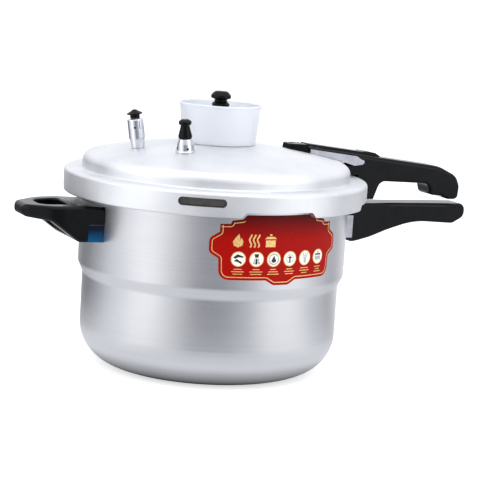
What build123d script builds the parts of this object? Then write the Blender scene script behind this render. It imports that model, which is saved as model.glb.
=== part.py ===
from build123d import *
import os
from math import acos, asin, cos, degrees, hypot, pi, radians, sin, sqrt, tan

# Stove-top pressure canner with a turn-to-lock lid. Millimetres.
# Origin: centre of the pot's base, on the surface it stands on. +Z up, +X along the two long handles.

os.makedirs("parts", exist_ok=True)

# ---- pot ----
inner_diameter = 260.0
wall = 3.0
pot_height = 180.0
base_thickness = 4.0
base_corner = 40.0
step_bottom = 90.0
step_rise = 10.4
step_inset = 4.8
step_round = 6.0
rim_flange = 5.0
rim_thickness = 4.0
lug_count = 6
rim_lug_angle = 24.0
rim_lug_reach = 8.2

# ---- lid ----
lid_wall = 3.0
lid_lug_angle = 34.0
lug_play = 0.4
hook_thickness = 4.8
hook_radial_play = 1.2
skirt_radial_play = 1.5
skirt_edge_lift = 0.8
gap_corner_run = 5.0
gasket_height = 9.7
gasket_play = 0.3
gasket_width = 12.0
gasket_lip = 2.6
lid_wall_rise = 7.2
dome_height = 24.5
shoulder_radius = 9.0
window_length = 45.0
window_height = 8.0
window_azimuth = -118.7
window_drop = 9.3

# ---- long handles ----
handle_width = 30.0
handle_edge_round = 5.0
handle_rounding = 3.5
body_handle_drop = 5.4
body_handle_length = 144.0
body_handle_root_depth = 39.5
body_handle_rise = 0.34
body_bracket_reach = 14.5
body_bracket_width = 42.0
body_tongue = 30.0
bracket_sheet = 2.5
bracket_height = 23.0
bracket_drop = 12.0
handles_gap = 3.4
lid_leg_play = 2.3
lid_leg_length = 21.0
lid_handle_reach = 126.0
finger_gap_length = 60.0
arm_overhang = 38.0
arm_lift = 6.4
arm_ease = 3.68
arm_thickness = 2.2
lid_bracket_sheet = 2.0
lid_bracket_width = 30.6
slider_width = 18.0
slider_thickness = 2.7
slider_travel = 8.0
slide_gap = 0.3

lock_catch_length = 19.0
lock_catch_width = 10.0
lock_catch_thickness = 1.5
guard_length = 20.5
striker_width = 16.0

# ---- fasteners ----
rivet_radius = 2.5
rivet_head_radius = 5.0
outer_head_radius = 4.2
rivet_head = 1.6
rivet_spacing = 27.8
lid_rivet_spacing = 16.6
screw_radius = 2.0
screw_head_radius = 3.8
screw_head = 2.4
small_screw_radius = 1.5
small_screw_head_radius = 2.9

# ---- helper handle ----
helper_width = 70.0
helper_length = 71.0
helper_grip_depth = 15.0
helper_root_depth = 35.0
helper_bracket_reach = 12.0
helper_bracket_height = 17.0
finger_hole_length = 27.0
finger_hole_width = 42.0
helper_tongue = 12.0
tip_overrun = 1.5
film_thickness = 0.2

# ---- valves, each on the dome's normal ----
front_valve_radius = 73.0
front_valve_azimuth = -139.5
relief_valve_radius = 85.0
relief_valve_azimuth = 180.0
float_radius = 80.5
float_azimuth = 0.0
neck_radius = 5.0
neck_length = 11.0
seal_thickness = 1.6
nut_height = 4.0
nut_flats = 14.0
stem_radius = 1.6
running_play = 0.08
seat_gap = 0.1
spring_wire = 0.8
under_gap = 0.1
bell_radius = 9.3
bell_top_radius = 6.1
bell_height = 13.4
bell_floor = 2.4
relief_radius = 7.9
relief_height = 28.5
relief_floor = 3.0
vent_top = 17.0
cover_radius = 11.0
cover_depth = 10.0
float_travel = 3.5
float_bush_radius = 4.5
float_pin_radius = 2.0

# ---- splash cup and regulator ----
cup_height = 38.0
cup_top_radius = 40.0
cup_base_radius = 37.0
cup_wall = 1.6
cup_lip = 1.5
cup_hole_radius = 16.0
weight_base = 8.6
weight_radius = 11.0
weight_height = 25.0
knob_radius = 10.0

# ---- label and rack ----
label_width = 137.0
label_height = 66.0
label_azimuth = -84.7
label_thickness = 0.3
label_lobe = 8.2
label_lobe_place = 0.57
label_lift = 4.7
label_foot = 8.0
label_crest = 37.0
rack_radius = 104.0
rack_height = 13.0
rack_sheet = 1.5
rack_hole_radius = 5.0

# ---- worked out from the sizes above ----
pot_inner = inner_diameter / 2
pot_outer = pot_inner + wall
flange_radius = pot_outer + rim_flange
rim_lug_radius = flange_radius + rim_lug_reach
skirt_inner = rim_lug_radius + skirt_radial_play
skirt_outer = skirt_inner + lid_wall
hook_inner = flange_radius + hook_radial_play
rim_under = pot_height - rim_thickness
hook_top = rim_under - lug_play
hook_bottom = hook_top - hook_thickness
skirt_edge = hook_top + skirt_edge_lift
flange_under = pot_height + gasket_height + 2 * gasket_play
flange_top = flange_under + lid_wall
wall_top = flange_top + lid_wall_rise
crown = wall_top + dome_height
lug_pitch = 360 / lug_count
dome_radius = ((pot_outer - shoulder_radius) ** 2 + dome_height ** 2 - shoulder_radius ** 2) / (
    2 * (dome_height - shoulder_radius)
)
dome_centre = crown - dome_radius
body_handle_top = hook_bottom - body_handle_drop
leg_bottom = body_handle_top + handles_gap
leg_inner = skirt_outer + lid_leg_play
body_root = pot_outer + body_bracket_reach
body_bracket_high = body_handle_top - bracket_drop
body_bracket_low = body_bracket_high - bracket_height
body_tongue_height = (body_bracket_low + body_bracket_high) / 2
body_screw_places = (body_root + 9, body_root + 23)
helper_root = pot_outer + helper_bracket_reach
helper_top = body_handle_top
helper_bracket_low = helper_top - helper_root_depth
helper_bracket_high = helper_bracket_low + helper_bracket_height
helper_tongue_height = (helper_bracket_low + helper_bracket_high) / 2
helper_screw_place = helper_root + 7
rivet_half_angle = degrees(asin(rivet_spacing / 2 / pot_outer))
body_rivet_angles = (-rivet_half_angle, rivet_half_angle)
helper_rivet_angles = (180 - rivet_half_angle, 180 + rivet_half_angle)


def dome_z(radius):
    """Height of the lid's outer surface at a distance from the axis."""
    return dome_centre + sqrt(dome_radius ** 2 - radius ** 2)


def dome_axis(radius, azimuth):
    """Outward normal of the dome at a place given by distance and azimuth."""
    lean = asin(radius / dome_radius)
    turn = radians(azimuth)
    return (sin(lean) * cos(turn), sin(lean) * sin(turn), cos(lean))


def dome_plane(radius, azimuth):
    """Plane that touches the dome, with Z along its normal and X pointing down the slope."""
    lean = asin(radius / dome_radius)
    turn = radians(azimuth)
    return Plane(
        origin=(radius * cos(turn), radius * sin(turn), dome_z(radius)),
        x_dir=(cos(lean) * cos(turn), cos(lean) * sin(turn), -sin(lean)),
        z_dir=dome_axis(radius, azimuth),
    )


arm_start = pot_outer - arm_overhang
arm_z = dome_z(arm_start) + arm_lift
arm_slope = degrees(asin(arm_start / dome_radius)) - arm_ease
arm_run = tan(radians(arm_slope))
catch_start = arm_start + 24
guard_screw_place = arm_start - 5.2
lid_screw_places = ((7.0, 0.0), (50.0, 10.2), (50.0, -10.2))
lid_rivet_places = []
for run in (15.5, 25.5):
    turn = degrees(asin(lid_rivet_spacing / 2 / (arm_start + run)))
    lid_rivet_places += [(arm_start + run, -turn), (arm_start + run, turn)]


def rounded_face(corners):
    """Closed outline through corners (x, y, radius), each corner rounded by a tangent arc."""
    edges = []
    starts = []
    ends = []
    arcs = []
    count = len(corners)
    for i, (x, y, radius) in enumerate(corners):
        ax, ay = corners[i - 1][:2]
        bx, by = corners[(i + 1) % count][:2]
        la = hypot(ax - x, ay - y)
        lb = hypot(bx - x, by - y)
        ux, uy = (ax - x) / la, (ay - y) / la
        vx, vy = (bx - x) / lb, (by - y) / lb
        if radius == 0:
            starts.append((x, y))
            ends.append((x, y))
            arcs.append(None)
            continue
        half = acos(max(-1.0, min(1.0, ux * vx + uy * vy))) / 2
        run = radius / tan(half)
        mx, my = ux + vx, uy + vy
        ml = hypot(mx, my)
        lift = radius / sin(half) - radius
        starts.append((x + ux * run, y + uy * run))
        ends.append((x + vx * run, y + vy * run))
        arcs.append((x + mx / ml * lift, y + my / ml * lift))
    for i in range(count):
        if arcs[i] is not None:
            edges.append(ThreePointArc(starts[i], arcs[i], ends[i]))
        nxt = (i + 1) % count
        if hypot(ends[i][0] - starts[nxt][0], ends[i][1] - starts[nxt][1]) > 1e-6:
            edges.append(Line(ends[i], starts[nxt]))
    return make_face(edges)


def turned(corners):
    """Solid of revolution about Z from a section in (radius, height)."""
    return revolve(Plane.XZ * rounded_face(corners), Axis.Z)


def side_slab(corners, half_width):
    """Side outline in (x, z), extruded both ways across the handle."""
    return extrude(Plane.XZ * rounded_face(corners), amount=half_width, both=True)


def plan_slab(corners, low, high):
    """Plan outline in (x, y), extruded between two heights."""
    return Pos(0, 0, low) * extrude(rounded_face(corners), amount=high - low)


def tube(outer, inner, low, high):
    """Plain ring about Z."""
    ring = Pos(0, 0, (low + high) / 2) * Cylinder(outer, high - low)
    if inner == 0:
        return ring
    return ring - Pos(0, 0, (low + high) / 2) * Cylinder(inner, high - low + 2)


def hexagon(flats, bore, low, high):
    """Hexagon nut about Z."""
    body = Pos(0, 0, low) * extrude(RegularPolygon(flats / 2, 6, major_radius=False), amount=high - low)
    return body - Pos(0, 0, (low + high) / 2) * Cylinder(bore, high - low + 2)


def sector(angle, reach, low, high):
    """Wedge about +X, used to keep or cut a share of a ring."""
    half = radians(angle / 2)
    tip = (reach * cos(half), reach * sin(half))
    outline = make_face([Line((0, 0), (tip[0], -tip[1])), Line((tip[0], -tip[1]), tip), Line(tip, (0, 0))])
    return Pos(0, 0, low) * extrude(outline, amount=high - low)


def coil_spring(radius, low, high, turns):
    """Round-wire compression spring about Z, ends inside its two heights."""
    pitch = (high - low - spring_wire) / turns
    path = Pos(0, 0, low + spring_wire / 2) * Helix(pitch=pitch, height=pitch * turns, radius=radius)
    section = Plane(origin=path @ 0, z_dir=path % 0) * Circle(spring_wire / 2)
    return sweep(section, path=path, is_frenet=True)


def save(part, name):
    """Writes one named piece."""
    export_step(part, f"parts/{name}.step")


# ---------------------------------------------------------------- pot
def make_pot():
    lower_outer = pot_outer - step_inset
    lower_inner = pot_inner - step_inset
    step_top = step_bottom + step_rise
    shell = turned([
        (0, 0, 0),
        (lower_outer, 0, base_corner),
        (lower_outer, step_bottom, step_round),
        (pot_outer, step_top, step_round),
        (pot_outer, rim_under, 1.5),
        (flange_radius, rim_under, 1.0),
        (flange_radius, pot_height, 1.0),
        (pot_inner, pot_height, 1.0),
        (pot_inner, step_top, step_round),
        (lower_inner, step_bottom, step_round),
        (lower_inner, base_thickness, base_corner - wall),
        (0, base_thickness, 0),
    ])
    ring = tube(rim_lug_radius, pot_outer - wall / 2, rim_under, pot_height)
    lug = ring & sector(rim_lug_angle, rim_lug_radius * 1.2, rim_under, pot_height)
    lug = fillet(lug.edges().filter_by(Axis.Z).group_by(Axis.X)[-1], 3.0)
    for i in range(lug_count):
        shell += Rot(0, 0, i * lug_pitch) * lug
    for hole in rivet_places():
        shell -= hole
    return shell


def radial_pin(radius, azimuth, height, low, high):
    """Pin that lies along a radius of the pot, between two distances from the axis."""
    pin = Pos((low + high) / 2, 0, height) * Rot(0, 90, 0) * Cylinder(radius, high - low)
    return Rot(0, 0, azimuth) * pin


def rivet_places():
    """Rivet holes through the pot's wall and both brackets."""
    low = pot_inner - 5
    high = pot_outer + bracket_sheet + 5
    holes = [radial_pin(rivet_radius, a, body_tongue_height, low, high) for a in body_rivet_angles]
    holes += [radial_pin(rivet_radius, a, helper_tongue_height, low, high) for a in helper_rivet_angles]
    return holes


def make_rivets(angles, height):
    """Two rivets: shank through wall and bracket plate, a low head at each end."""
    low = pot_inner
    high = pot_outer + bracket_sheet
    group = []
    for angle in angles:
        core = radial_pin(rivet_radius, angle, height, low - 0.5, high + 0.5)
        inside = radial_pin(rivet_head_radius, angle, height, low - rivet_head, low + 1)
        inside &= tube(low, 0, height - 20, height + 20)
        outside = radial_pin(outer_head_radius, angle, height, high - 1, high + rivet_head)
        outside -= tube(high, 0, height - 20, height + 20)
        group.append(core + inside + outside)
    return Compound(group)


def make_label():
    """Sticker on the pot's front, as thin as foil: stepped shoulders, a lobe each side and one below."""
    top = hook_bottom + 1.0
    low = top - label_height
    middle = low + label_height * label_lobe_place
    half = label_width / 2
    side = half - label_lobe
    right = [
        (label_foot, low, 5),
        (label_foot + 8, low + label_lift, 5),
        (side - 1, low + label_lift, 9),
        (side, middle - 13, 1.5),
        (half, middle - 7.5, 6),
        (half, middle + 6, 6),
        (side, middle + 12, 1.5),
        (side, top - 9, 0.8),
        (side - 9, top - 8.5, 0.8),
        (side - 10, top - 5.5, 1.5),
        (label_crest + 4, top - 4, 2),
        (label_crest, top, 0),
    ]
    left = [(-y, z, radius) for y, z, radius in reversed(right)]
    outline = rounded_face(left + right)
    prism = extrude(Plane.YZ * outline, amount=pot_outer + 10)
    skin = tube(pot_outer + label_thickness, pot_outer, low - 1, top + 1)
    return Rot(0, 0, label_azimuth) * (prism & skin)


# ---------------------------------------------------------------- pot handles
def bracket_plate(half_width, low, high):
    """Curved plate against the pot's wall, on +X."""
    skin = tube(pot_outer + bracket_sheet, pot_outer, low, high)
    mid = (low + high) / 2
    return skin & Pos(pot_outer, 0, mid) * Box(40, 2 * half_width, high - low)


def make_bracket(half_width, reach, low, high, tongue_reach):
    """Riveted saddle: plate on the wall, two cheeks, an end plate, and a tongue that enters the handle."""
    depth = pot_outer + reach
    mid = (low + high) / 2
    plate = bracket_plate(half_width, low, high)
    block = Pos(depth / 2, 0, mid) * Box(depth, 2 * half_width, high - low)
    hollow = Pos((depth - bracket_sheet) / 2, 0, mid) * Box(
        depth - bracket_sheet, 2 * (half_width - bracket_sheet), high - low + 2)
    cheeks = block - hollow - tube(pot_outer, 0, low - 1, high + 1)
    cheeks -= Pos(-200, 0, mid) * Box(400, 400, high)
    tongue = Pos(depth + tongue_reach / 2 - 0.5, 0, mid) * Box(tongue_reach + 1, 20, 6)
    return plate + cheeks + tongue


def make_body_bracket():
    bracket = make_bracket(body_bracket_width / 2, body_bracket_reach, body_bracket_low, body_bracket_high,
                           body_tongue)
    for hole in rivet_places()[:2]:
        bracket -= hole
    for place in body_screw_places:
        bracket -= Pos(place, 0, body_tongue_height) * Cylinder(screw_radius, 10)
    return bracket


def body_handle_underside(x):
    """Height of the screw seats under the long handle's root."""
    return body_handle_top - body_handle_root_depth + (x - body_root) * body_handle_rise


def make_body_handle():
    top = body_handle_top
    end = body_root + body_handle_length
    side = side_slab([
        (body_root, top, 0),
        (end - 3, top - 1.2, 8),
        (end - 4, top - 15, 8),
        (end - 19, top - 22.4, 9),
        (body_root + 78, top - 19.6, 90),
        (body_root + 24, top - 35.5, 45),
        (body_root + 3, top - body_handle_root_depth, 0),
        (body_root, top - body_handle_root_depth, 0),
    ], body_bracket_width / 2)
    root_half = body_bracket_width / 2
    grip_half = handle_width / 2
    plan = plan_slab([
        (body_root - 1, -root_half, 0),
        (body_root + 8, -root_half, 10),
        (body_root + 46, -grip_half + 1.5, 60),
        (end - 30, -grip_half, 60),
        (end, -grip_half + 2, 12.5),
        (end, grip_half - 2, 12.5),
        (end - 30, grip_half, 60),
        (body_root + 46, grip_half - 1.5, 60),
        (body_root + 8, root_half, 10),
        (body_root - 1, root_half, 0),
    ], top - 60, top + 5)
    handle = side & plan
    sides = handle.edges().filter_by(lambda e: e.center().X > body_root + 0.5 and abs(e.center().Y) > 2)
    handle = fillet(sides, handle_rounding)
    socket_mid = body_tongue_height
    handle -= Pos(body_root + body_tongue / 2, 0, socket_mid) * Box(body_tongue + 0.2, 20, 6)
    handle -= make_striker()
    for place in body_screw_places:
        handle -= Pos(place, 0, socket_mid - 20 + 4) * Cylinder(screw_radius, 40)
        seat = body_handle_underside(place) + 3.0
        handle -= Pos(place, 0, seat - 20) * Cylinder(screw_head_radius + 0.4, 40)
    return handle


def make_body_screws():
    group = []
    for place in body_screw_places:
        seat = body_handle_underside(place) + 3.0
        screw = Pos(place, 0, 0) * tube(screw_radius, 0, seat - 0.5, body_tongue_height + 3)
        head = Pos(place, 0, 0) * tube(screw_head_radius, 0, seat - screw_head, seat)
        slot = Pos(place, 0, seat - screw_head) * Box(10, 1.2, 1.6)
        group.append(screw + head - slot)
    return Compound(group)


def make_striker():
    """Steel keeper let into the long handle's top, beside the skirt."""
    x = body_root + 13
    plate = Pos(x, 0, body_handle_top + 0.4) * Box(10, striker_width, 2.4)
    return fillet(plate.edges().filter_by(Axis.Z), 2.0)


def make_helper_handle():
    top = helper_top
    end = pot_outer + helper_length
    half = helper_width / 2
    side = side_slab([
        (pot_outer - 8, top - 1.5, 0),
        (helper_root + 10, top, 20),
        (end, top - 1.0, 5.0),
        (end, top - helper_grip_depth + 2.5, 5.5),
        (end - 24, top - helper_grip_depth, 10),
        (helper_root + 8, top - helper_root_depth, 8),
        (helper_root, top - helper_root_depth, 0),
        (helper_root, helper_bracket_high, 0),
        (pot_outer - 8, helper_bracket_high, 0),
    ], half)
    plan = plan_slab([
        (pot_outer - 12, -half, 0),
        (helper_root + 32, -half, 30),
        (end + tip_overrun, -half + 22, 18),
        (end + tip_overrun, half - 22, 18),
        (helper_root + 32, half, 30),
        (pot_outer - 12, half, 0),
    ], top - 60, top + 5)
    handle = side & plan
    handle -= tube(pot_outer + 0.8, 0, top - 80, top + 20)
    sides = handle.edges().filter_by(lambda e: e.center().X > helper_root + 0.5 and abs(e.center().Y) > 8)
    handle = fillet(sides, handle_rounding)
    hole_low = helper_root + 14
    hole_high = hole_low + finger_hole_length
    hole_half = finger_hole_width / 2
    finger = plan_slab([
        (hole_low, -hole_half, 6),
        (hole_high, -hole_half + 4, 12),
        (hole_high, hole_half - 4, 12),
        (hole_low, hole_half, 6),
    ], top - 60, top + 5)
    handle -= finger
    mouth = handle.edges().filter_by(
        lambda e: hole_low - 0.5 < e.center().X < hole_high + 0.5 and abs(e.center().Y) < hole_half + 0.5
        and e.center().Z > top - 3)
    handle = fillet(mouth, 2.0)
    tongue_mid = helper_tongue_height
    handle -= Pos(helper_root + helper_tongue / 2, 0, tongue_mid) * Box(helper_tongue + 0.2, 20, 6)
    handle -= Pos(helper_screw_place, 0, tongue_mid - 20 + 4) * Cylinder(screw_radius, 40)
    handle -= Pos(helper_screw_place, 0, helper_screw_seat() - 20) * Cylinder(screw_head_radius + 0.4, 40)
    return Rot(0, 0, 180) * handle


def helper_screw_seat():
    """Height of the screw seat under the helper handle."""
    return helper_top - helper_root_depth + 4.5


def make_helper_bracket():
    bracket = make_bracket(helper_width / 2 - 1.0, helper_bracket_reach, helper_bracket_low,
                           helper_bracket_high, helper_tongue)
    bracket -= Pos(helper_screw_place, 0, helper_tongue_height) * Cylinder(screw_radius, 10)
    bracket = Rot(0, 0, 180) * bracket
    for hole in rivet_places()[2:]:
        bracket -= hole
    return bracket


def make_bracket_film():
    """Protective film still on the helper bracket's two cheeks."""
    half = helper_width / 2 - 1.0
    low = helper_bracket_low + 0.3
    high = helper_bracket_high - 0.3
    group = []
    for side in (-1, 1):
        y = side * (half + film_thickness / 2)
        sheet = Pos(-helper_root / 2, y, (low + high) / 2) * Box(helper_root, film_thickness, high - low)
        group.append(sheet - tube(pot_outer + 0.2, 0, low - 1, high + 1))
    return Compound([piece for sheet in group for piece in sheet.solids()])


def make_helper_screw():
    seat = helper_screw_seat()
    screw = tube(screw_radius, 0, seat - 0.5, helper_tongue_height + 3)
    head = tube(screw_head_radius, 0, seat - screw_head, seat)
    slot = Pos(0, 0, seat - screw_head) * Box(10, 1.2, 1.6)
    return Pos(-helper_screw_place, 0, 0) * (screw + head - slot)


# ---------------------------------------------------------------- rack
def make_rack():
    """Perforated plate that keeps jars off the base, on a pressed ring."""
    floor = base_thickness + slide_gap
    top = floor + rack_height
    foot = 78.0
    plate = turned([
        (0, top - rack_sheet, 0),
        (foot, top - rack_sheet, 2),
        (foot, floor, 0.5),
        (foot + rack_sheet + 1.0, floor, 0.5),
        (foot + rack_sheet + 1.0, top - rack_sheet, 1.5),
        (rack_radius, top - rack_sheet, 0.5),
        (rack_radius, top, 0.5),
        (0, top, 0),
    ])
    punch = Pos(0, 0, top) * Cylinder(rack_hole_radius, 3 * rack_sheet)
    plate -= punch
    for ring_radius, count in ((22, 6), (44, 12), (65, 18), (93, 24)):
        for i in range(count):
            plate -= Rot(0, 0, 360 / count * i) * Pos(ring_radius, 0, 0) * punch
    return plate


# ---------------------------------------------------------------- lid
def crown_shell():
    """Domed top with its rounded shoulder, down to the top of the straight wall."""
    lean = asin((pot_outer - shoulder_radius) / (dome_radius - shoulder_radius))
    mid_lean = (lean + pi / 2) / 2
    centre = (pot_outer - shoulder_radius, wall_top)

    def dome_point(offset, angle):
        reach = dome_radius - offset
        return (reach * sin(angle), dome_centre + reach * cos(angle))

    def shoulder_point(offset, angle):
        reach = shoulder_radius - offset
        return (centre[0] + reach * sin(angle), centre[1] + reach * cos(angle))

    edges = []
    for offset in (0, lid_wall):
        edges.append(ThreePointArc(
            dome_point(offset, 0), dome_point(offset, lean / 2), dome_point(offset, lean)))
        edges.append(ThreePointArc(
            dome_point(offset, lean), shoulder_point(offset, mid_lean), shoulder_point(offset, pi / 2)))
    edges.append(Line(shoulder_point(0, pi / 2), shoulder_point(lid_wall, pi / 2)))
    edges.append(Line(dome_point(0, 0), dome_point(lid_wall, 0)))
    return revolve(Plane.XZ * make_face(edges), Axis.Z)


def make_lid():
    skirt = turned([
        (pot_outer - lid_wall, wall_top, 0),
        (pot_outer - lid_wall, flange_under, 0.8),
        (skirt_inner, flange_under, 1.0),
        (skirt_inner, hook_top, 0.4),
        (hook_inner, hook_top, 0),
        (hook_inner, hook_bottom, 1.2),
        (skirt_outer, hook_bottom, 1.6),
        (skirt_outer, flange_top, 3.0),
        (pot_outer, flange_top, 2.0),
        (pot_outer, wall_top, 0),
    ])
    shell = skirt + crown_shell()
    gap_half = skirt_outer * sin(radians((lug_pitch - lid_lug_angle) / 2))
    drop = skirt_edge - hook_bottom
    notch = rounded_face([
        (-gap_half, skirt_edge, 3.0),
        (-gap_half - gap_corner_run, hook_bottom, 2.0),
        (-gap_half - gap_corner_run - 6, hook_bottom - 6, 0),
        (gap_half + gap_corner_run + 6, hook_bottom - 6, 0),
        (gap_half + gap_corner_run, hook_bottom, 2.0),
        (gap_half, skirt_edge, 3.0),
    ])
    cutter = Pos(pot_outer, 0, 0) * extrude(Plane.YZ * notch, amount=skirt_outer - pot_outer + drop)
    for i in range(lug_count):
        shell -= Rot(0, 0, (i + 0.5) * lug_pitch) * cutter
    slot = extrude(Plane.YZ * SlotOverall(window_length, window_height), amount=skirt_outer)
    slot = Pos(0, 0, flange_top - window_drop) * slot
    slot &= tube(skirt_outer + 5, skirt_inner - 3, hook_bottom, flange_under)
    shell -= Rot(0, 0, window_azimuth) * slot
    shell -= tube(neck_radius, 0, crown - 20, crown + 5)
    shell -= dome_plane(front_valve_radius, front_valve_azimuth) * Cylinder(neck_radius, 30)
    shell -= dome_plane(relief_valve_radius, relief_valve_azimuth) * Cylinder(neck_radius, 30)
    shell -= dome_plane(float_radius, float_azimuth) * Cylinder(float_bush_radius, 30)
    for place in lid_rivet_places:
        shell -= dome_plane(*place) * Cylinder(rivet_radius, 30)
    shell -= dome_plane(guard_screw_place, 0) * Cylinder(small_screw_radius, 30)
    return shell


def make_gasket():
    """C-section silicone ring: two lips open inwards, towards the pressure."""
    low = pot_height + gasket_play
    high = low + gasket_height
    outer = skirt_inner - gasket_play
    inner = outer - gasket_width
    return turned([
        (outer, low, 1.0),
        (outer, high, 1.0),
        (inner, high, 0.8),
        (inner, high - gasket_lip, 0.8),
        (outer - 4.5, high - gasket_lip - 0.6, 1.2),
        (outer - 4.5, low + gasket_lip + 0.6, 1.2),
        (inner, low + gasket_lip, 0.8),
        (inner, low, 0.8),
    ])


# ---------------------------------------------------------------- lid handle
def arm_top(x):
    """Height of the lid handle's sloping top."""
    return arm_z - (x - arm_start) * arm_run


def arm_plane():
    """Plane on the arm's top, X along the slope and away from the lid's centre."""
    slope = radians(arm_slope)
    along = (cos(slope), 0, -sin(slope))
    return Plane(origin=(arm_start, 0, arm_z), x_dir=along, z_dir=(sin(slope), 0, cos(slope)))


def lid_bracket_outline():
    """Side outline of the bracket's cheeks, taken lower than the dome and trimmed to it after."""
    near = leg_inner - 10
    return [
        (arm_start + 1, arm_top(arm_start + 1) - arm_thickness, 0),
        (near + 7, arm_top(near + 7) - arm_thickness, 3),
        (near + 13, arm_top(near + 13) - 5.2, 2),
        (near + 19, arm_top(near + 19) - 5.2, 2),
        (near + 14, wall_top + 4.6, 3),
        (near - 1, wall_top + 2.6, 3),
        (near - 8, wall_top + 6.5, 5),
        (near - 20, dome_z(near - 20) - 6, 0),
        (arm_start + 1, dome_z(arm_start + 1) - 6, 0),
    ]


def make_lid_bracket():
    """Folded channel that carries the lid handle, riveted to the dome by its floor."""
    half = lid_bracket_width / 2
    channel = side_slab(lid_bracket_outline(), half)
    inside = side_slab([
        (arm_start - 20, arm_top(arm_start - 20) - arm_thickness - lid_bracket_sheet, 0),
        (skirt_outer + 60, arm_top(skirt_outer + 60) - arm_thickness - lid_bracket_sheet, 0),
        (skirt_outer + 60, flange_top, 0),
        (arm_start - 20, flange_top, 0),
    ], half - lid_bracket_sheet)
    channel -= inside
    web_end = leg_inner - 4
    channel -= Pos(web_end + 50, 0, arm_top(web_end)) * Box(100, 2 * (half - lid_bracket_sheet), 100)
    centre = Pos(0, 0, dome_centre)
    channel -= centre * Sphere(dome_radius + 0.8)
    floor = centre * Sphere(dome_radius + lid_bracket_sheet) - centre * Sphere(dome_radius + 0.02)
    floor &= Pos(arm_start + 17.5, 0, crown) * Box(33, 2 * half - 2 * lid_bracket_sheet + 0.2, 80)
    bracket = channel + floor
    for place in lid_rivet_places:
        bracket -= dome_plane(*place) * Cylinder(rivet_radius, 30)
    bracket -= slider_slot(0.6)
    for screw in lid_screw_holes(small_screw_radius, 12):
        bracket -= screw
    return bracket


def lid_screw_holes(radius, depth):
    """Bores square to the arm's top, for the screws that hold handle to bracket."""
    plane = arm_plane()
    return [plane * Pos(x, y, -depth / 2) * Cylinder(radius, depth + 0.01) for x, y in lid_screw_places]


def slider_slot(side_play):
    """Slot that the lock slider's rib runs in, through arm and bracket."""
    length = lock_catch_length - 1.0 + slider_travel + 2 * side_play
    slot = Pos(catch_start - arm_start + 0.5 - side_play + length / 2, 0, -3) * Box(
        length, 6 + 2 * side_play, 2 * (arm_thickness + lid_bracket_sheet))
    return arm_plane() * slot


def make_lid_handle():
    grip_end = skirt_outer + lid_handle_reach
    leg_outer = leg_inner + lid_leg_length
    gap_end = leg_outer + finger_gap_length + 7
    block_low = flange_top + 1.3
    ledge = wall_top + 3.0
    pocket = leg_inner - 1
    side = side_slab([
        (arm_start, arm_top(arm_start), 0),
        (grip_end - 26, arm_top(grip_end - 26) + 0.4, 40),
        (grip_end - 4, arm_top(grip_end) - 6.5, 15),
        (grip_end + 0.6, leg_bottom + 14, 12),
        (grip_end - 0.6, leg_bottom, 5),
        (grip_end - 12, leg_bottom, 6),
        (grip_end - 21, leg_bottom + 4.0, 6),
        (gap_end + 1.5, leg_bottom + 4.4, 5.5),
        (gap_end - 2, leg_bottom + 16.6, 6),
        (leg_outer + 7, leg_bottom + 18.8, 9),
        (leg_outer, leg_bottom, 0),
        (leg_inner, leg_bottom, 0),
        (leg_inner, block_low, 0),
        (pot_outer + 4.5, block_low, 0),
        (pot_outer + 4.5, ledge, 0),
        (pocket, ledge, 0),
        (pocket, arm_top(pocket) - arm_thickness, 0),
        (arm_start, arm_top(arm_start) - arm_thickness, 0),
    ], handle_width / 2)
    long_edges = side.edges().filter_by(
        lambda e: abs(abs(e.center().Y) - handle_width / 2) < 0.01 and e.center().X > leg_inner + 2)
    handle = fillet(long_edges, handle_edge_round - 1)
    handle -= make_lid_bracket_envelope()
    handle -= slider_slot(0.6)
    for screw in lid_screw_holes(small_screw_radius, 12):
        handle -= screw
    for cone in screw_cones():
        handle -= cone
    return handle


def make_lid_bracket_envelope():
    """The bracket's cheeks as plain slabs, for their rebates in the handle."""
    half = lid_bracket_width / 2
    outline = lid_bracket_outline()
    return side_slab(outline, half) - side_slab([
        (arm_start - 30, crown + 40, 0),
        (skirt_outer + 90, crown + 40, 0),
        (skirt_outer + 90, flange_top - 20, 0),
        (arm_start - 30, flange_top - 20, 0),
    ], half - lid_bracket_sheet)


def screw_cones():
    """Countersinks on the arm's top."""
    plane = arm_plane()
    depth = small_screw_head_radius - small_screw_radius
    return [plane * Pos(x, y, -depth / 2) * Cone(small_screw_radius, small_screw_head_radius, depth)
            for x, y in lid_screw_places]


def make_lid_screws():
    """Countersunk screws, heads flush with the arm."""
    length = 6.0
    depth = small_screw_head_radius - small_screw_radius
    plane = arm_plane()
    group = []
    for x, y in lid_screw_places:
        body = Pos(x, y, -length / 2) * Cylinder(small_screw_radius, length)
        body += Pos(x, y, -depth / 2) * Cone(small_screw_radius, small_screw_head_radius, depth)
        body -= Pos(x, y, 0) * Box(4.4, 0.8, 1.2)
        group.append(plane * body)
    return Compound(group)


def make_lid_rivets():
    """Rivets through the dome and the bracket's floor."""
    group = []
    for place in lid_rivet_places:
        shank = Pos(0, 0, (lid_bracket_sheet - lid_wall) / 2) * Cylinder(
            rivet_radius, lid_wall + lid_bracket_sheet + 0.6)
        top = Pos(0, 0, lid_bracket_sheet + 0.45) * Cylinder(3.0, 0.8)
        under = Pos(0, 0, -lid_wall - under_gap - 0.6) * Cylinder(rivet_head_radius - 0.5, 1.1)
        group.append(dome_plane(*place) * (shank + top + under))
    return Compound(group)


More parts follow.
